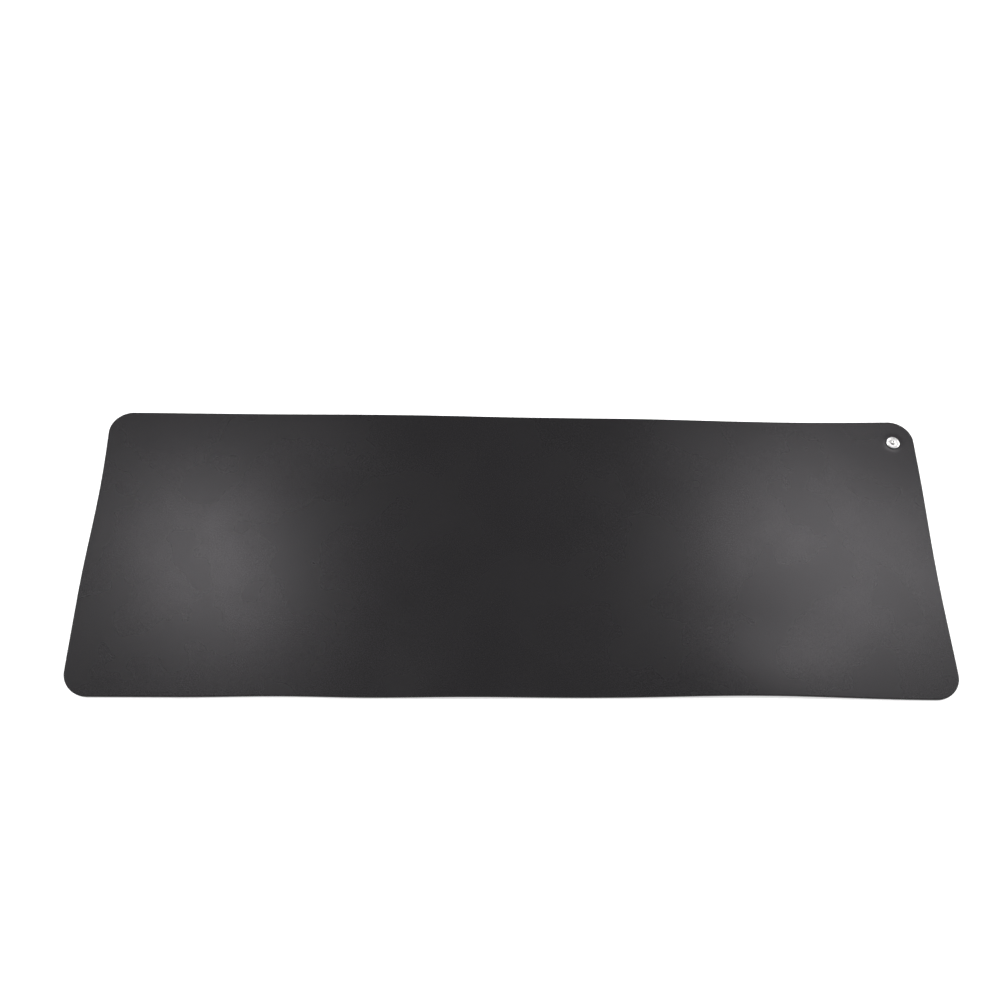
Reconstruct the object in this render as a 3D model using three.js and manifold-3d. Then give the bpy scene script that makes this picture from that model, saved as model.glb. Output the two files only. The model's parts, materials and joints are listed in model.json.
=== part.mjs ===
// A conductive desk mat with a press stud in one corner. Millimetres, +X along it, +Y to its back, +Z up.
import * as THREE from 'three';
import { mergeVertices } from 'three/addons/utils/BufferGeometryUtils.js';
import Module from 'manifold-3d';

const wasm = await Module();
wasm.setup();

// The sheet
const matLength = 680;
const matWidth = 250;
const matThickness = 2;
const cornerRadius = 20;

// Crests where the two long edges stand off the desk: place along the edge, height, half length
const backCrests = [
  { along: -108, height: 1.2, halfLength: 122 },
  { along: 84, height: 0.8, halfLength: 117 },
];
const frontCrests = [
  { along: -40, height: 1, halfLength: 66 },
  { along: 184, height: 1.3, halfLength: 110 },
];
const crestReach = 72;

// Bows where the soft sheet's edges run inside a straight line: place along the edge, depth, half length
const backBows = [
  { along: 83, depth: 1, halfLength: 150 },
  { along: 242, depth: 2.5, halfLength: 150 },
];
const frontBows = [
  { along: -178, depth: 1, halfLength: 76 },
  { along: 0, depth: 0.8, halfLength: 150 },
  { along: 180, depth: 2.5, halfLength: 150 },
];
const rightBows = [{ along: -20, depth: 1.6, halfLength: 105 }];
const leftBows = [{ along: 60, depth: 2.5, halfLength: 105 }];
const bowReach = 40;

// The press stud's place, and its sizes above the sheet
const studFromEnd = 18;
const studFromBack = 22;
const flangeDiameter = 11;
const flangeThickness = 0.45;
const rimRise = 0.35;
const rimWidth = 1.3;
const knobDiameter = 3.9;
const knobHeight = 1.9;
const neckDiameter = 3.4;
const neckHeight = 0.6;
const knobRounding = 0.5;
const dimpleDiameter = 1.6;
const dimpleDepth = 0.15;
const stampedWall = 0.4;

// The rivet below it, whose tube stands in the stud's bore
const capDiameter = 10.5;
const capThickness = 0.6;
const capBevel = 0.25;
const rivetClearance = 0.3;
const seatClearance = 0.3;
const studBore = neckDiameter - 2 * stampedWall;
const tubeDiameter = studBore - 2 * rivetClearance;

// How finely curves and waves are cut up
const waveCell = 17;
const cornerSegments = 10;
const turnSegments = 48;
const rimSegments = 6;
const shoulderSegments = 4;
const trimMargin = 5;

const studX = matLength / 2 - studFromEnd;
const studY = matWidth / 2 - studFromBack;

function toManifold(geometry) {
  const bare = geometry.clone();
  bare.deleteAttribute('normal');
  bare.deleteAttribute('uv');
  const merged = mergeVertices(bare, 1e-4);
  const mesh = new wasm.Mesh({
    numProp: 3,
    vertProperties: new Float32Array(merged.attributes.position.array),
    triVerts: new Uint32Array(merged.index.array),
  });
  return new wasm.Manifold(mesh);
}

function toGeometry(solid) {
  const mesh = solid.getMesh();
  const geometry = new THREE.BufferGeometry();
  geometry.setAttribute('position', new THREE.BufferAttribute(mesh.vertProperties, 3));
  geometry.setIndex(new THREE.BufferAttribute(mesh.triVerts, 1));
  geometry.computeVertexNormals();
  return geometry;
}

function raisedCosine(distance, reach) {
  if (Math.abs(distance) >= reach) return 0;
  return (1 + Math.cos((Math.PI * distance) / reach)) / 2;
}

function edgeLift(x, inset, crests) {
  const along = crests.reduce((sum, c) => sum + c.height * raisedCosine(x - c.along, c.halfLength), 0);
  return along * raisedCosine(Math.max(inset, 0), crestReach);
}

// How far the sheet stands off the desk at a place
function lift(x, y) {
  const back = edgeLift(x, matWidth / 2 - y, backCrests);
  const front = edgeLift(x, matWidth / 2 + y, frontCrests);
  return back + front;
}

// A blank sheet, a little larger than the mat, with its waves
function wavySheet() {
  const length = matLength + 2 * trimMargin;
  const width = matWidth + 2 * trimMargin;
  const columns = Math.ceil(length / waveCell);
  const rows = Math.ceil(width / waveCell);
  const sheet = new THREE.BoxGeometry(length, width, matThickness, columns, rows, 1);
  sheet.translate(0, 0, matThickness / 2);
  const position = sheet.attributes.position;
  for (let i = 0; i < position.count; i += 1) {
    position.setZ(i, position.getZ(i) + lift(position.getX(i), position.getY(i)));
  }
  return sheet;
}

function edgeBow(along, inset, bows) {
  const depths = bows.map((bow) => bow.depth * raisedCosine(along - bow.along, bow.halfLength));
  return depths.reduce((sum, depth) => sum + depth, 0) * raisedCosine(inset, bowReach);
}

// Where a point of the straight outline comes to lie
function bowed(point) {
  const { x, y } = point;
  const right = edgeBow(y, matLength / 2 - x, rightBows);
  const left = edgeBow(y, matLength / 2 + x, leftBows);
  const back = edgeBow(x, matWidth / 2 - y, backBows);
  const front = edgeBow(x, matWidth / 2 + y, frontBows);
  return new THREE.Vector2(x - right + left, y - back + front);
}

// Points round the rounded outline, with its bows
function outlinePoints() {
  const x = matLength / 2 - cornerRadius;
  const y = matWidth / 2 - cornerRadius;
  const centres = [[x, -y], [x, y], [-x, y], [-x, -y]];
  const arcs = centres.map(([cx, cy], i) => {
    const start = ((i - 1) * Math.PI) / 2;
    const curve = new THREE.EllipseCurve(cx, cy, cornerRadius, cornerRadius, start, start + Math.PI / 2);
    return curve.getPoints(cornerSegments);
  });
  const points = arcs.flatMap((arc, i) => {
    const side = new THREE.LineCurve(arc.at(-1), arcs[(i + 1) % arcs.length][0]);
    const steps = Math.ceil(side.getLength() / waveCell);
    return [...arc, ...side.getPoints(steps).slice(1, -1)];
  });
  return points.map(bowed);
}

// The cutter that trims the blank to its rounded outline
function outlineCutter() {
  const heights = [...backCrests, ...frontCrests].map((crest) => crest.height);
  const depth = matThickness + heights.reduce((sum, height) => sum + height, 0) + 2 * trimMargin;
  const cutter = new THREE.ExtrudeGeometry(new THREE.Shape(outlinePoints()), { depth, bevelEnabled: false });
  cutter.translate(0, 0, -trimMargin);
  return cutter;
}

// A round cutter at the stud's place
function roundCutter(diameter, bottom, top) {
  const cutter = new THREE.CylinderGeometry(diameter / 2, diameter / 2, top - bottom, turnSegments);
  cutter.rotateX(Math.PI / 2);
  cutter.translate(studX, studY, (top + bottom) / 2);
  return cutter;
}

function matSheet() {
  const tubeHole = roundCutter(tubeDiameter + 2 * seatClearance, -trimMargin, matThickness + trimMargin);
  const capSeat = roundCutter(capDiameter + 2 * seatClearance, -trimMargin, capThickness);
  const trimmed = toManifold(wavySheet()).intersect(toManifold(outlineCutter()));
  return toGeometry(trimmed.subtract(toManifold(tubeHole)).subtract(toManifold(capSeat)));
}

// A solid turned about the stud's axis
function turned(profile) {
  const points = profile.map(([radius, height]) => new THREE.Vector2(radius, height));
  const geometry = new THREE.LatheGeometry(points, turnSegments);
  geometry.rotateX(Math.PI / 2);
  return geometry;
}

// Points on a quarter circle that closes in from an outer radius, upwards
function roundedShoulder(radius, top, rounding) {
  const points = [];
  for (let i = 0; i <= shoulderSegments; i += 1) {
    const angle = (i / shoulderSegments) * (Math.PI / 2);
    const out = radius - rounding + rounding * Math.cos(angle);
    points.push([out, top - rounding + rounding * Math.sin(angle)]);
  }
  return points;
}

// Points of the flange's rolled rim, from its outside over the top to its inner foot
function rolledRim(outer) {
  const points = [];
  for (let i = 0; i <= rimSegments; i += 1) {
    const angle = (i / rimSegments) * Math.PI;
    const out = outer - rimWidth / 2 + (rimWidth / 2) * Math.cos(angle);
    points.push([out, flangeThickness + rimRise * Math.sin(angle)]);
  }
  return points;
}

function snapStud() {
  const bore = studBore / 2;
  const top = flangeThickness + knobHeight;
  const dimple = dimpleDiameter / 2;
  const profile = [
    [0, top - dimpleDepth - stampedWall],
    [bore, top - dimpleDepth - stampedWall],
    [bore, 0],
    [flangeDiameter / 2, 0],
    ...rolledRim(flangeDiameter / 2),
    [neckDiameter / 2, flangeThickness],
    [neckDiameter / 2, flangeThickness + neckHeight],
    ...roundedShoulder(knobDiameter / 2, top, knobRounding),
    [dimple, top],
    [dimple - dimpleDepth, top - dimpleDepth],
    [0, top - dimpleDepth],
  ];
  return turned(profile);
}

function snapPost() {
  const stud = flangeThickness + knobHeight - dimpleDepth - stampedWall;
  const top = matThickness + stud - rivetClearance;
  const cap = capDiameter / 2;
  const profile = [
    [0, 0],
    [cap - capBevel, 0],
    [cap, capBevel],
    [cap, capThickness],
    [tubeDiameter / 2, capThickness],
    [tubeDiameter / 2, top],
    [0, top],
  ];
  return turned(profile);
}

// Finishes
const charcoal = new THREE.MeshStandardMaterial({ color: 0x2c2b2e, roughness: 0.6, metalness: 0 });
const nickel = new THREE.MeshStandardMaterial({ color: 0xe4e3e0, roughness: 0.22, metalness: 1 });

function named(name, geometry, material, x, y, z) {
  const mesh = new THREE.Mesh(geometry, material);
  mesh.name = name;
  mesh.position.set(x, y, z);
  return mesh;
}

const group = new THREE.Group();
group.add(named('mat_sheet', matSheet(), charcoal, 0, 0, 0));
group.add(named('snap_stud', snapStud(), nickel, studX, studY, matThickness));
group.add(named('snap_post', snapPost(), nickel, studX, studY, 0));

export default group;
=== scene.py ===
import json
import math

import bmesh
import bpy
from mathutils import Matrix, Vector
from mathutils.geometry import delaunay_2d_cdt


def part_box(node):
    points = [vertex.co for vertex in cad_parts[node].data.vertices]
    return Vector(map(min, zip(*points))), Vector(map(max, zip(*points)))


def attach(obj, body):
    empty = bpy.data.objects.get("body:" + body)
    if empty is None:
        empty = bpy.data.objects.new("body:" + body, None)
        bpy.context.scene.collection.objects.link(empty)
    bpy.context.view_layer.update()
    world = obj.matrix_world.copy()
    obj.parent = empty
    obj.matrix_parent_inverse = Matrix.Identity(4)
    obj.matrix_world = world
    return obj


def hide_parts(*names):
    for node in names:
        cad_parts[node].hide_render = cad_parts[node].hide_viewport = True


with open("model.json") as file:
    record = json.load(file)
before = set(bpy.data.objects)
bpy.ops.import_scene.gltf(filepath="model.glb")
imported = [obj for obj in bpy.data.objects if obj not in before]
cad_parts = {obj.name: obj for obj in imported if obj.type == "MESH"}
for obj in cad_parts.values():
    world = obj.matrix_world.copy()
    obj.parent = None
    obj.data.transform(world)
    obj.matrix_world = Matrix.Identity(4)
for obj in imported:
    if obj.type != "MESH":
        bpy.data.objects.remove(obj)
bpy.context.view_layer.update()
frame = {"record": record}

MM = 0.001

# The sheet's edge, as in the part's source, in millimetres
CORNER_RADIUS = 20
# Each crest: place along its edge, height, half length
BACK_CRESTS = [(-108, 1.2, 122), (84, 0.8, 117)]
FRONT_CRESTS = [(-40, 1, 66), (184, 1.3, 110)]
CREST_REACH = 72
# Each bow: place along its edge, depth, half length
BACK_BOWS = [(83, 1, 150), (242, 2.5, 150)]
FRONT_BOWS = [(-178, 1, 76), (0, 0.8, 150), (180, 2.5, 150)]
RIGHT_BOWS = [(-20, 1.6, 105)]
LEFT_BOWS = [(60, 2.5, 105)]
BOW_REACH = 40
# No bow within the first distance of the stud, a whole one beyond the second
STILL_RING = (10, 17)

# The sheet's own finish, in millimetres
TOP_EDGE_ROUNDING = 0.35
BOTTOM_EDGE_ROUNDING = 0.2
HOLE_RADIUS = 1.3
SEAT_EDGE = 0.8
# The lip that the flange presses up: its height and, from the flange outwards, its crest and ends
PRESSED_LIP = 0.12
LIP_WIDTH = 3.5
LIP_CREST = LIP_WIDTH / 3
LIP_REACH = LIP_WIDTH / 1.5
LIP_START = (-0.6, 0.4)

# The sheet's unevenness, of two crossing waves whose lengths are in millimetres a radian
SETTLE_HEIGHT = 0.15
LONG_WAVE = 47
LONG_WAVE_SWAY = 1.3
SWAY_WAVE = 61
CROSS_WAVE_ACROSS = 39
CROSS_WAVE_ALONG = 83
CROSS_WAVE_START = 0.7
# Even within the first distance of the stud, fully uneven beyond the second
SETTLE_FADE = (12, 60)

# How finely the sheet is cut up, in millimetres and in steps round a curve
GRID_CELL = 6
EDGE_CELL = 5
CORNER_STEPS = 24
EDGE_STEPS = 4
HOLE_STEPS = 24
STUD_STEPS = 72
BAND_INSETS = [0.9, 2.2, 4.6]
GRID_FROM_BANDS = 3
GRID_FROM_LIP = 6
# Rings of points round the stud: below its flange, and at parts of the lip's width beyond it
RING_BELOW = 3
RING_BEFORE_RIM = 0.5
LIP_RINGS = (0.1, 0.2, 0.35, 0.55, 0.8, 1.1, 1.6)
# The share of the hole's radius that surely lies within its many-sided outline
HOLE_SHARE = 0.99
CUT_TOLERANCE = 1e-5
SHEET_SHARP_ANGLE = 40

# The press stud above the sheet, in millimetres
BASE_THICKNESS = 0.45
BASE_ROUNDING = 0.25
RIM_RISE = 0.35
RIM_WIDTH = 1.3
RIM_ROOT = 0.1
KNOB_RADIUS = 1.95
KNOB_ROUNDING = 0.6
NECK_RADIUS = 1.7
NECK_HEIGHT = 0.6
DIMPLE_RADIUS = 0.8
DIMPLE_DEPTH = 0.15
DIMPLE_ROUNDING = 0.1
PIT_RADIUS = 0.5
PIT_DEPTH = 0.42
CEILING_DEPTH = 0.55
# Steps outwards and upwards from the rim's foot, the neck's foot, and the pit's edge and floor
PAN_STEPS = [(-0.25, -0.12), (-0.7, -0.1)]
NECK_STEPS = [(0.8, 0), (0.35, 0.06), (0.1, 0.22), (0, 0.5), (0.02, 0.68), (0.14, 0.88)]
PIT_EDGE_STEPS = [(0.12, 0), (0, -0.04)]
PIT_FLOOR_STEPS = [(-0.06, 0.05), (-0.15, 0), (-PIT_RADIUS, 0)]

# The rivet below it, in millimetres
CAP_THICKNESS = 0.6
CAP_ROUNDING = 0.3
CAP_BEVEL = 0.05
CAP_DISH = 0.08
RIVET_CLEARANCE = 0.3
# Steps outwards and upwards from the cap's lower edge
DISH_STEPS = [(-2, 0.06), (-1.2, 0.02)]

# How finely the stud and the rivet are turned
TURN_STEPS = 96
RIM_STEPS = 12
TURNED_SHARP_ANGLE = 50
AXIS_RADIUS = 1e-6

# Patterns' scales, in cells a metre
MOTTLE_SCALE = 14
GRAIN_SCALE = 1700
PORE_SCALE = 4200
STAIN_SCALE = 420
SCRATCH_SCALE = 2600
FLOOR_SCALE = 3

# The parts of a pattern, or of the normal's height, over which it takes effect
GRAIN_BAND = (0.15, 0.6)
MIDDLE_BAND = (0.3, 0.7)
STAIN_BAND = (0.35, 0.75)
FACE_BAND = (0.35, 0.8)
ROUGH_BAND = (0.2, 0.8)

# The sheet's colours and roughness, and its relief in metres
FACE_DARK = (0.0135, 0.0125, 0.0138)
FACE_LIGHT = (0.0175, 0.0162, 0.0178)
GRAIN_DARK = (0.011, 0.0105, 0.0115)
CUT_DARK = (0.009, 0.009, 0.0095)
CUT_LIGHT = (0.016, 0.016, 0.0165)
FACE_ROUGHNESS = (0.255, 0.285)
CUT_ROUGHER_BY = 0.4
GRAIN_RELIEF = (0.15, 0.00003)
PORE_RELIEF = (0.12, 0.00002)

# The nickel's colours, and how far the painted shade on it fades from the pit and the neck, in
# millimetres
NICKEL_BRIGHT = (0.92, 0.92, 0.91)
NICKEL_STAINED = (0.83, 0.82, 0.8)
NICKEL_ROUGHNESS = (0.3, 0.4)
SCRATCH_RELIEF = (0.12, 0.00002)
# Painted shade: a dark colour laid into the knob's pit and round its neck, standing in for the shade
# there
PAINTED_SHADE = (0.09, 0.088, 0.085)
PAINTED_SHADE_BY_PIT = 0.25
PAINTED_SHADE_BELOW_PIT = 0.5
PAINTED_SHADE_BY_NECK = 0.7
PAINTED_SHADE_ON_BASE = 0.3
PAINTED_SHADE_ON_KNOB = 0.4

# The floor, in metres, and its own glow, which keeps it pale far from the lights
FLOOR_SIZE = 12
FLOOR_HEIGHT = -0.0002
FLOOR_TONES = ((0.9, 0.9, 0.9), (0.92, 0.92, 0.92))
FLOOR_ROUGHNESS = 0.9
FLOOR_SHINE = 0.1
FLOOR_GLOW = 0.55

# Each light: name, place, what it points at, size in metres, watts, colour
WHITE = (1, 1, 1)
SOFTBOX_TINT = (1, 0.96, 1)
LIGHTS = [
    ("left_wing", (-2.4, 0.6, 1.4), (0, 0, 0), (1.2, 1), 64, WHITE),
    ("right_wing", (2.4, 0.6, 1.4), (0, 0, 0), (1.2, 1), 64, WHITE),
    ("left_softbox", (-0.6, 0.7, 1.5), (-0.18, 0, 0), (0.22, 0.25), 1.5, SOFTBOX_TINT),
    ("right_softbox", (0.76, 0.73, 1.5), (0.23, 0, 0), (0.5, 0.26), 2.35, SOFTBOX_TINT),
]

# The brightness of the room, and of the white sweep round it
ROOM_BRIGHTNESS = 0.18
SWEEP_BRIGHTNESS = 0.5
# The sweep ends between these heights of a direction's unit vector
SWEEP_FADE = (0.4, 0.6)
BACKDROP = (0.95, 0.95, 0.95)

# The camera, fitted to the mat's outline in the photograph, with its angles in degrees
LENS = 43.449
SENSOR_WIDTH = 36
CAMERA_PLACE = (-0.03416, -0.42898, 0.86837)
CAMERA_PITCH = 61.296
CAMERA_YAW = 3.834
CAMERA_ROLL = 3.889
CAMERA_SHIFT = -0.012
CLIP_START = 0.01


def mount_height(name):
    mounts = frame["record"]["mounts"]
    return next(m["pos_m"][2] for m in mounts if m["name"] == name) / MM


def middle(low, high):
    return [(a + b) / 2 / MM for a, b in zip(low, high)]


mat_low, mat_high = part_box("mat_sheet")
stud_low, stud_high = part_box("snap_stud")
post_low, post_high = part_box("snap_post")
HALF_LENGTH = (mat_high[0] - mat_low[0]) / 2 / MM
HALF_WIDTH = (mat_high[1] - mat_low[1]) / 2 / MM
THICKNESS = mount_height("top_face")
STUD_X, STUD_Y, _ = middle(stud_low, stud_high)
FLANGE_RADIUS = (stud_high[0] - stud_low[0]) / 2 / MM
STUD_TOP = (stud_high[2] - stud_low[2]) / MM
CAP_RADIUS = (post_high[0] - post_low[0]) / 2 / MM
POST_TOP = post_high[2] / MM


# Shape of the sheet


def raised_cosine(distance, reach):
    if abs(distance) >= reach:
        return 0
    return (1 + math.cos(math.pi * distance / reach)) / 2


def smooth_step(low, high, value):
    t = min(max((value - low) / (high - low), 0), 1)
    return t * t * (3 - 2 * t)


def from_stud(x, y):
    return math.hypot(x - STUD_X, y - STUD_Y)


def edge_wave(along, inset, humps, reach):
    total = sum(size * raised_cosine(along - place, half) for place, size, half in humps)
    return total * raised_cosine(max(inset, 0), reach)


def lift(x, y):
    """How far the sheet stands off the desk."""
    back = edge_wave(x, HALF_WIDTH - y, BACK_CRESTS, CREST_REACH)
    front = edge_wave(x, HALF_WIDTH + y, FRONT_CRESTS, CREST_REACH)
    return back + front


def bowed(x, y):
    """Where a point of the straight sheet comes to lie, with the stud's surroundings kept still."""
    right = edge_wave(y, HALF_LENGTH - x, RIGHT_BOWS, BOW_REACH)
    left = edge_wave(y, HALF_LENGTH + x, LEFT_BOWS, BOW_REACH)
    back = edge_wave(x, HALF_WIDTH - y, BACK_BOWS, BOW_REACH)
    front = edge_wave(x, HALF_WIDTH + y, FRONT_BOWS, BOW_REACH)
    free = smooth_step(*STILL_RING, from_stud(x, y))
    return x + (left - right) * free, y + (front - back) * free


def settle(x, y):
    """The slight unevenness of a soft sheet that lies by its own weight."""
    long_wave = math.sin(x / LONG_WAVE + LONG_WAVE_SWAY * math.sin(y / SWAY_WAVE))
    cross_wave = math.sin(y / CROSS_WAVE_ACROSS + x / CROSS_WAVE_ALONG + CROSS_WAVE_START)
    share = (2 + (long_wave + cross_wave)) / 4
    return SETTLE_HEIGHT * share * smooth_step(*SETTLE_FADE, from_stud(x, y))


def inset_of(x, y):
    """Distance in from the sheet's rounded outline."""
    dx = abs(x) - (HALF_LENGTH - CORNER_RADIUS)
    dy = abs(y) - (HALF_WIDTH - CORNER_RADIUS)
    corner = math.hypot(max(dx, 0), max(dy, 0))
    return CORNER_RADIUS - corner - min(max(dx, dy), 0)


def rounding_drop(inset, radius):
    """How far a rounded edge falls below the flat face."""
    if inset >= radius:
        return 0
    return radius - math.sqrt(max(radius ** 2 - (radius - inset) ** 2, 0))


def pressed_lip(x, y):
    beyond = from_stud(x, y) - FLANGE_RADIUS
    crest = raised_cosine(beyond - LIP_CREST, LIP_REACH)
    return PRESSED_LIP * crest * smooth_step(*LIP_START, beyond)


def top_height(x, y):
    rest = lift(x, y) + settle(x, y) + THICKNESS + pressed_lip(x, y)
    return rest - rounding_drop(inset_of(x, y), TOP_EDGE_ROUNDING)


def bottom_height(x, y):
    beyond_cap = smooth_step(CAP_RADIUS, CAP_RADIUS + SEAT_EDGE, from_stud(x, y))
    rest = lift(x, y) + settle(x, y) + CAP_THICKNESS * (1 - beyond_cap)
    return rest + rounding_drop(inset_of(x, y), BOTTOM_EDGE_ROUNDING)


def arc(cx, cy, radius, start, end, steps):
    """Points on an arc between two angles in degrees."""
    angles = [math.radians(start + (end - start) * i / steps) for i in range(steps + 1)]
    return [(cx + radius * math.cos(a), cy + radius * math.sin(a)) for a in angles]


def between(a, b, cell):
    """Points strictly between two points, about a cell apart."""
    count = max(round(math.dist(a, b) / cell), 1)
    run, rise = b[0] - a[0], b[1] - a[1]
    return [(a[0] + run * i / count, a[1] + rise * i / count) for i in range(1, count)]


def outline_loop(inset):
    """Points round the sheet, counterclockwise, at a distance in from its edge."""
    x, y = HALF_LENGTH - CORNER_RADIUS, HALF_WIDTH - CORNER_RADIUS
    radius = CORNER_RADIUS - inset
    corners = [(x, -y, -90), (x, y, 0), (-x, y, 90), (-x, -y, 180)]
    arcs = [arc(cx, cy, radius, start, start + 90, CORNER_STEPS) for cx, cy, start in corners]
    points = []
    for corner, following in zip(arcs, arcs[1:] + arcs[:1]):
        points += corner + between(corner[-1], following[0], EDGE_CELL)
    return points


def stud_loop(radius, steps):
    turns = [2 * math.pi * i / steps for i in range(steps)]
    return [(STUD_X + radius * math.cos(a), STUD_Y + radius * math.sin(a)) for a in turns]


def edge_points():
    """Loops of points by the edge, close together over its rounding."""
    turns = [math.pi / 2 * i / EDGE_STEPS for i in range(1, EDGE_STEPS + 1)]
    insets = [TOP_EDGE_ROUNDING * (1 - math.cos(a)) for a in turns] + BAND_INSETS
    return [point for inset in insets for point in outline_loop(inset)]


def ring_points():
    """Rings of points round the stud, below its flange and over the pressed lip."""
    radii = [RING_BELOW, FLANGE_RADIUS - RING_BEFORE_RIM, FLANGE_RADIUS]
    radii += [FLANGE_RADIUS + LIP_WIDTH * part for part in LIP_RINGS]
    return [point for radius in radii for point in stud_loop(radius, STUD_STEPS)]


def grid_points():
    """Staggered points over the inside of the sheet, clear of its edge and of the stud."""
    points = []
    row_height = GRID_CELL * math.sqrt(3) / 2
    rows = int(HALF_WIDTH / row_height)
    columns = int(HALF_LENGTH / GRID_CELL) + 1
    for row in range(-rows, rows + 1):
        stagger = GRID_CELL / 2 * (row % 2)
        for column in range(-columns, columns + 1):
            x, y = column * GRID_CELL + stagger, row * row_height
            clear = from_stud(x, y) > FLANGE_RADIUS + LIP_WIDTH + GRID_FROM_LIP
            if clear and inset_of(x, y) > BAND_INSETS[-1] + GRID_FROM_BANDS:
                points.append((x, y))
    return points


def closed_chain(first, count):
    """Edges that join a run of points into a loop."""
    return [(first + i, first + (i + 1) % count) for i in range(count)]


def in_hole(corners):
    x = sum(corner[0] for corner in corners) / len(corners)
    y = sum(corner[1] for corner in corners) / len(corners)
    return from_stud(x, y) <= HOLE_RADIUS * HOLE_SHARE


def sheet_plan():
    """The sheet's plan, as points and triangles."""
    outline = outline_loop(0)
    hole = stud_loop(HOLE_RADIUS, HOLE_STEPS)
    points = outline + hole + edge_points() + ring_points() + grid_points()
    edges = closed_chain(0, len(outline)) + closed_chain(len(outline), len(hole))
    cut = delaunay_2d_cdt([Vector(p) for p in points], edges, [], 0, CUT_TOLERANCE)
    flat = [tuple(v) for v in cut[0]]
    return flat, [face for face in cut[2] if not in_hole([flat[i] for i in face])]


def build_sheet():
    flat, triangles = sheet_plan()
    mesh = bmesh.new()
    top, bottom = [], []
    for height_at, layer in ((top_height, top), (bottom_height, bottom)):
        for point in flat:
            x, y = bowed(*point)
            layer.append(mesh.verts.new((x * MM, y * MM, height_at(*point) * MM)))
    for face in triangles:
        mesh.faces.new([top[i] for i in face])
        mesh.faces.new([bottom[i] for i in reversed(face)])
    below = dict(zip(top, bottom))
    rims = [e for e in mesh.edges if len(e.link_faces) == 1 and e.verts[0] in below]
    for edge in rims:
        a, b = edge.verts
        mesh.faces.new((a, b, below[b], below[a]))
    return finished_mesh("conductive_sheet", mesh, SHEET_SHARP_ANGLE)


def finished_mesh(name, mesh, sharp_angle):
    bmesh.ops.recalc_face_normals(mesh, faces=mesh.faces)
    data = bpy.data.meshes.new(name)
    mesh.to_mesh(data)
    mesh.free()
    data.shade_smooth()
    data.set_sharp_from_angle(angle=math.radians(sharp_angle))
    piece = bpy.data.objects.new(name, data)
    bpy.context.scene.collection.objects.link(piece)
    return piece


# Shape of the press stud and its rivet


def turned(name, profile, base):
    """A closed solid turned about the stud's axis, from a profile that runs from axis to axis."""
    mesh = bmesh.new()
    rings = []
    for radius, height in profile:
        loop = stud_loop(radius, TURN_STEPS) if radius > AXIS_RADIUS else [(STUD_X, STUD_Y)]
        z = (base + height) * MM
        rings.append([mesh.verts.new((x * MM, y * MM, z)) for x, y in loop])
    for lower, upper in zip(rings, rings[1:]):
        for i in range(TURN_STEPS):
            j = (i + 1) % TURN_STEPS
            low_pair = [lower[i % len(lower)], lower[j % len(lower)]]
            high_pair = [upper[j % len(upper)], upper[i % len(upper)]]
            mesh.faces.new(list(dict.fromkeys(low_pair + high_pair)))
    return finished_mesh(name, mesh, TURNED_SHARP_ANGLE)


def stepped(radius, height, steps):
    return [(radius + out, height + up) for out, up in steps]


def rolled_rim():
    """The flange's rolled rim, from its outside over the top to its inner foot."""
    radius = RIM_WIDTH / 2
    root = BASE_THICKNESS - RIM_ROOT
    points = []
    for i in range(RIM_STEPS + 1):
        angle = math.pi * i / RIM_STEPS
        out = FLANGE_RADIUS - radius + radius * math.cos(angle)
        points.append((out, root + (RIM_RISE + RIM_ROOT) * math.sin(angle)))
    return points


def build_stud():
    ceiling = STUD_TOP - CEILING_DEPTH
    profile = [(0, ceiling), (HOLE_RADIUS, ceiling), (HOLE_RADIUS, 0)]
    profile += arc(FLANGE_RADIUS - BASE_ROUNDING, BASE_ROUNDING, BASE_ROUNDING, -90, 0, 5)
    profile += rolled_rim()
    profile += stepped(FLANGE_RADIUS - RIM_WIDTH, BASE_THICKNESS, PAN_STEPS)
    profile += stepped(NECK_RADIUS, BASE_THICKNESS, NECK_STEPS)
    profile += arc(KNOB_RADIUS - KNOB_ROUNDING, STUD_TOP - KNOB_ROUNDING, KNOB_ROUNDING, -12, 90, 10)
    profile += arc(DIMPLE_RADIUS, STUD_TOP - DIMPLE_ROUNDING, DIMPLE_ROUNDING, 90, 150, 4)
    profile += stepped(PIT_RADIUS, STUD_TOP - DIMPLE_DEPTH, PIT_EDGE_STEPS)
    profile += stepped(PIT_RADIUS, STUD_TOP - PIT_DEPTH, PIT_FLOOR_STEPS)
    return turned("press_stud", profile, THICKNESS)


def build_post():
    tube = HOLE_RADIUS - RIVET_CLEARANCE
    profile = [(0, CAP_DISH)] + stepped(CAP_RADIUS, 0, DISH_STEPS)
    profile += arc(CAP_RADIUS - CAP_ROUNDING, CAP_ROUNDING, CAP_ROUNDING, -90, 0, 6)
    profile += [(CAP_RADIUS, CAP_THICKNESS - CAP_BEVEL), (CAP_RADIUS - CAP_BEVEL, CAP_THICKNESS)]
    profile += [(tube, CAP_THICKNESS), (tube, POST_TOP), (0, POST_TOP)]
    return turned("rivet_cap", profile, 0)


# Materials


def new_material(name):
    material = bpy.data.materials.new(name)
    material.use_nodes = True
    return material, material.node_tree, material.node_tree.nodes["Principled BSDF"]


def add_node(tree, kind, values=None, **settings):
    node = tree.nodes.new(kind)
    for key, value in settings.items():
        setattr(node, key, value)
    for key, value in (values or {}).items():
        node.inputs[key].default_value = value
    return node


def object_place(tree):
    return add_node(tree, "ShaderNodeTexCoord").outputs["Object"]


def split_vector(tree, vector):
    split = add_node(tree, "ShaderNodeSeparateXYZ")
    tree.links.new(vector, split.inputs["Vector"])
    return split.outputs


def noise(tree, place, scale, detail=2.0, roughness=0.5):
    values = {"Scale": scale, "Detail": detail, "Roughness": roughness}
    node = add_node(tree, "ShaderNodeTexNoise", values)
    tree.links.new(place, node.inputs["Vector"])
    return node.outputs["Fac"]


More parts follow.
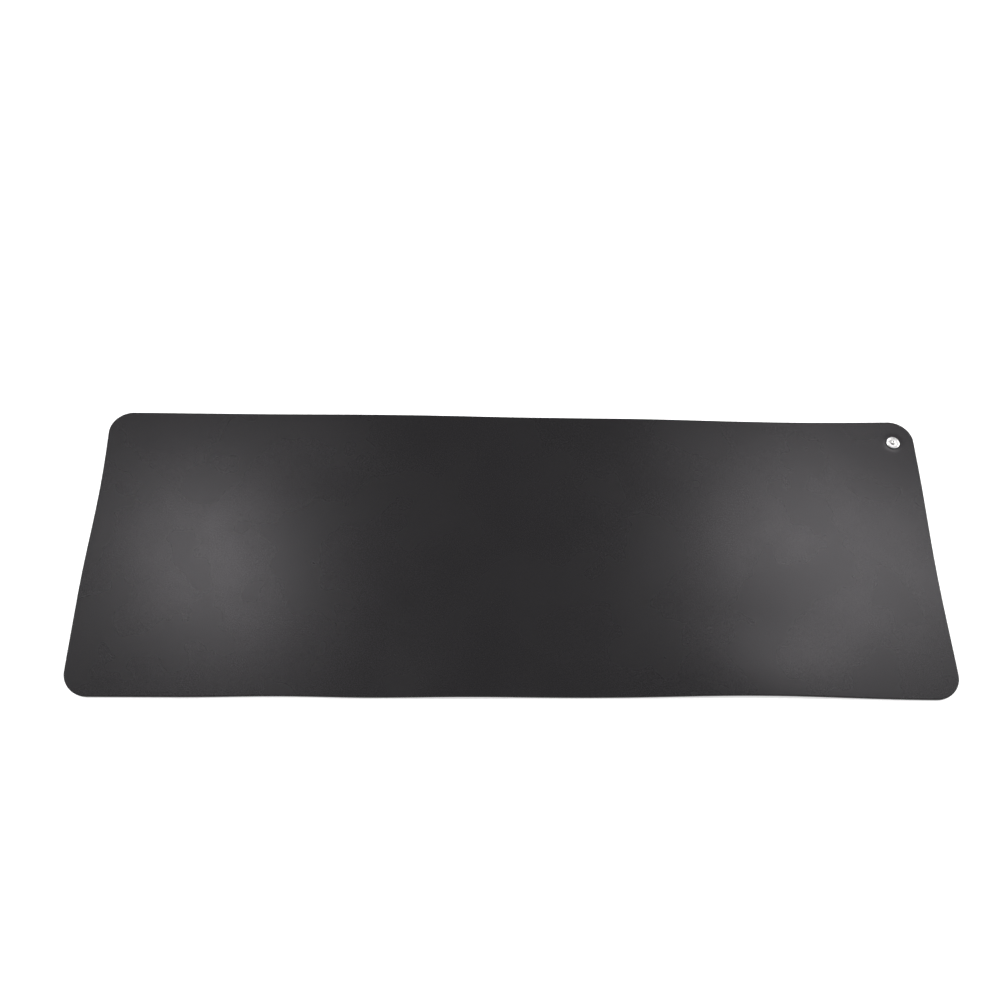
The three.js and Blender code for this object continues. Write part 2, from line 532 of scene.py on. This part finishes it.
def cells(tree, place, scale):
    node = add_node(tree, "ShaderNodeTexVoronoi", {"Scale": scale}, feature="SMOOTH_F1")
    tree.links.new(place, node.inputs["Vector"])
    return node.outputs["Distance"]


def ramp(tree, value, low, high, out_low, out_high):
    values = {"From Min": low, "From Max": high, "To Min": out_low, "To Max": out_high}
    node = add_node(tree, "ShaderNodeMapRange", values, interpolation_type="SMOOTHSTEP")
    tree.links.new(value, node.inputs["Value"])
    return node.outputs["Result"]


def math_node(tree, operation, *operands):
    """A sum, product or other value of one or two numbers or sockets."""
    node = add_node(tree, "ShaderNodeMath", operation=operation)
    for socket, value in zip(node.inputs, operands):
        if isinstance(value, (int, float)):
            socket.default_value = value
        else:
            tree.links.new(value, socket)
    return node.outputs["Value"]


def blend(tree, factor, low, high):
    """A colour between two, each a colour or a socket."""
    node = add_node(tree, "ShaderNodeMix", data_type="RGBA")
    tree.links.new(factor, node.inputs["Factor"])
    for socket, value in ((node.inputs[6], low), (node.inputs[7], high)):
        if isinstance(value, tuple):
            socket.default_value = (*value, 1)
        else:
            tree.links.new(value, socket)
    return node.outputs[2]


def bump(tree, height, relief, below=None):
    """A bumped normal, from a relief's strength and distance, over another if one is given."""
    strength, distance = relief
    node = add_node(tree, "ShaderNodeBump", {"Strength": strength, "Distance": distance})
    tree.links.new(height, node.inputs["Height"])
    if below is not None:
        tree.links.new(below, node.inputs["Normal"])
    return node.outputs["Normal"]


def facing_up(tree):
    """The height part of the surface's normal: 1 on top, 0 on the cut edge, -1 below."""
    return split_vector(tree, add_node(tree, "ShaderNodeNewGeometry").outputs["Normal"])["Z"]


def sheet_material():
    material, tree, shader = new_material("charcoal_sheet")
    place = object_place(tree)
    up = facing_up(tree)
    mottle = noise(tree, place, MOTTLE_SCALE, 3)
    grain = cells(tree, place, GRAIN_SCALE)
    pores = noise(tree, place, PORE_SCALE, 2)
    smooth = blend(tree, mottle, FACE_DARK, FACE_LIGHT)
    face = blend(tree, ramp(tree, grain, *GRAIN_BAND, 0, 1), GRAIN_DARK, smooth)
    cut = blend(tree, pores, CUT_DARK, CUT_LIGHT)
    on_face = ramp(tree, up, *FACE_BAND, 0, 1)
    tree.links.new(blend(tree, on_face, cut, face), shader.inputs["Base Color"])
    face_rough = ramp(tree, mottle, *MIDDLE_BAND, *FACE_ROUGHNESS)
    cut_rough = ramp(tree, up, *ROUGH_BAND, CUT_ROUGHER_BY, 0)
    tree.links.new(math_node(tree, "ADD", face_rough, cut_rough), shader.inputs["Roughness"])
    relief = bump(tree, pores, PORE_RELIEF, bump(tree, grain, GRAIN_RELIEF))
    tree.links.new(relief, shader.inputs["Normal"])
    return material


def stud_axis_place(tree, place):
    """A point's distance from the stud's axis, and its height."""
    axis = (STUD_X * MM, STUD_Y * MM, 0)
    offset = add_node(tree, "ShaderNodeVectorMath", {1: axis}, operation="SUBTRACT")
    tree.links.new(place, offset.inputs[0])
    x, y, z = split_vector(tree, offset.outputs["Vector"])
    squares = [math_node(tree, "MULTIPLY", side, side) for side in (x, y)]
    return math_node(tree, "SQRT", math_node(tree, "ADD", *squares)), z


def fade(tree, value, start, length, out_low, out_high):
    """A ramp over a length in millimetres."""
    return ramp(tree, value, start * MM, (start + length) * MM, out_low, out_high)


def painted_shade_mask(tree, place):
    """Painted shade on the stud: a dark colour in the knob's pit and round its neck, where shade
    falls.
    """
    radius, z = stud_axis_place(tree, place)
    knob_foot = THICKNESS + BASE_THICKNESS + NECK_HEIGHT
    by_pit = fade(tree, radius, PIT_RADIUS, PAINTED_SHADE_BY_PIT, 1, 0)
    on_knob = fade(tree, z, knob_foot, PAINTED_SHADE_BELOW_PIT, 0, 1)
    by_neck = fade(tree, radius, NECK_RADIUS, PAINTED_SHADE_BY_NECK, 1, 0)
    on_base = fade(tree, z, THICKNESS, PAINTED_SHADE_ON_BASE, 0, 1)
    below_knob = fade(tree, z, knob_foot, PAINTED_SHADE_ON_KNOB, 1, 0)
    pit = math_node(tree, "MULTIPLY", by_pit, on_knob)
    neck = math_node(tree, "MULTIPLY", math_node(tree, "MULTIPLY", by_neck, on_base), below_knob)
    return math_node(tree, "MAXIMUM", pit, neck)


def nickel_material():
    material, tree, shader = new_material("worn_nickel_with_painted_shade")
    place = object_place(tree)
    stain = noise(tree, place, STAIN_SCALE, 3)
    scratch = noise(tree, place, SCRATCH_SCALE, 4, 0.7)
    colour = blend(tree, ramp(tree, stain, *STAIN_BAND, 0, 1), NICKEL_BRIGHT, NICKEL_STAINED)
    # Painted shade: the knob's pit and the neck's foot are darkened in colour to stand in for shade
    shaded_colour = blend(tree, painted_shade_mask(tree, place), colour, PAINTED_SHADE)
    tree.links.new(shaded_colour, shader.inputs["Base Color"])
    tree.links.new(ramp(tree, stain, *MIDDLE_BAND, *NICKEL_ROUGHNESS), shader.inputs["Roughness"])
    shader.inputs["Metallic"].default_value = 1.0
    tree.links.new(bump(tree, scratch, SCRATCH_RELIEF), shader.inputs["Normal"])
    return material


def floor_material():
    material, tree, shader = new_material("pale_floor")
    tone = blend(tree, noise(tree, object_place(tree), FLOOR_SCALE, 2), *FLOOR_TONES)
    tree.links.new(tone, shader.inputs["Base Color"])
    shader.inputs["Roughness"].default_value = FLOOR_ROUGHNESS
    shader.inputs["Specular IOR Level"].default_value = FLOOR_SHINE
    shader.inputs["Emission Color"].default_value = (*WHITE, 1)
    shader.inputs["Emission Strength"].default_value = FLOOR_GLOW
    return material


# Stage, light and camera


def add_floor():
    bpy.ops.mesh.primitive_plane_add(size=FLOOR_SIZE, location=(0, 0, FLOOR_HEIGHT))
    floor = bpy.context.object
    floor.name = "studio_floor"
    floor.data.materials.append(floor_material())


def add_light(name, place, aim, size, watts, colour):
    light = bpy.data.lights.new(name, "AREA")
    light.shape = "RECTANGLE"
    light.size, light.size_y = size
    light.energy = watts
    light.color = colour
    lamp = bpy.data.objects.new(name, light)
    lamp.location = place
    lamp.rotation_euler = (Vector(aim) - Vector(place)).to_track_quat("-Z", "Y").to_euler()
    bpy.context.scene.collection.objects.link(lamp)


def add_world():
    """A dim room over a white sweep to light the mat, and a pale backdrop for the camera."""
    world = bpy.data.worlds.new("studio")
    world.use_nodes = True
    bpy.context.scene.world = world
    tree = world.node_tree
    room = tree.nodes["Background"]
    room.inputs["Color"].default_value = (*WHITE, 1)
    direction = add_node(tree, "ShaderNodeTexCoord").outputs["Generated"]
    height = split_vector(tree, direction)["Z"]
    brightness = ramp(tree, height, *SWEEP_FADE, SWEEP_BRIGHTNESS, ROOM_BRIGHTNESS)
    tree.links.new(brightness, room.inputs["Strength"])
    backdrop = add_node(tree, "ShaderNodeBackground", {"Color": (*BACKDROP, 1), "Strength": 1})
    seen = add_node(tree, "ShaderNodeLightPath").outputs["Is Camera Ray"]
    mix = add_node(tree, "ShaderNodeMixShader")
    tree.links.new(seen, mix.inputs[0])
    tree.links.new(room.outputs[0], mix.inputs[1])
    tree.links.new(backdrop.outputs[0], mix.inputs[2])
    tree.links.new(mix.outputs[0], tree.nodes["World Output"].inputs["Surface"])


def camera_turn():
    pitch, yaw, roll = (math.radians(a) for a in (CAMERA_PITCH, CAMERA_YAW, CAMERA_ROLL))
    level = math.cos(pitch)
    forward = Vector((math.sin(yaw) * level, math.cos(yaw) * level, -math.sin(pitch)))
    right = Vector((math.cos(yaw), -math.sin(yaw), 0))
    up = right.cross(forward)
    rolled_right = math.cos(roll) * right + math.sin(roll) * up
    rolled_up = math.cos(roll) * up - math.sin(roll) * right
    return Matrix((rolled_right, rolled_up, -forward)).transposed().to_4x4()


def add_camera():
    data = bpy.data.cameras.new("camera")
    data.sensor_width = SENSOR_WIDTH
    data.lens = LENS
    data.shift_x = CAMERA_SHIFT
    data.clip_start = CLIP_START
    camera = bpy.data.objects.new("camera", data)
    camera.matrix_world = Matrix.Translation(CAMERA_PLACE) @ camera_turn()
    bpy.context.scene.collection.objects.link(camera)
    bpy.context.scene.camera = camera


def dress(piece, node, material):
    piece.data.materials.append(material)
    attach(piece, "root")
    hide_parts(node)


def main():
    add_camera()
    nickel = nickel_material()
    sheet = build_sheet()
    dress(sheet, "mat_sheet", sheet_material())
    dress(build_stud(), "snap_stud", nickel)
    dress(build_post(), "snap_post", nickel)
    add_floor()
    for light in LIGHTS:
        add_light(*light)
    add_world()
    bpy.context.scene.view_settings.view_transform = "Standard"
    bpy.context.view_layer.update()


main()
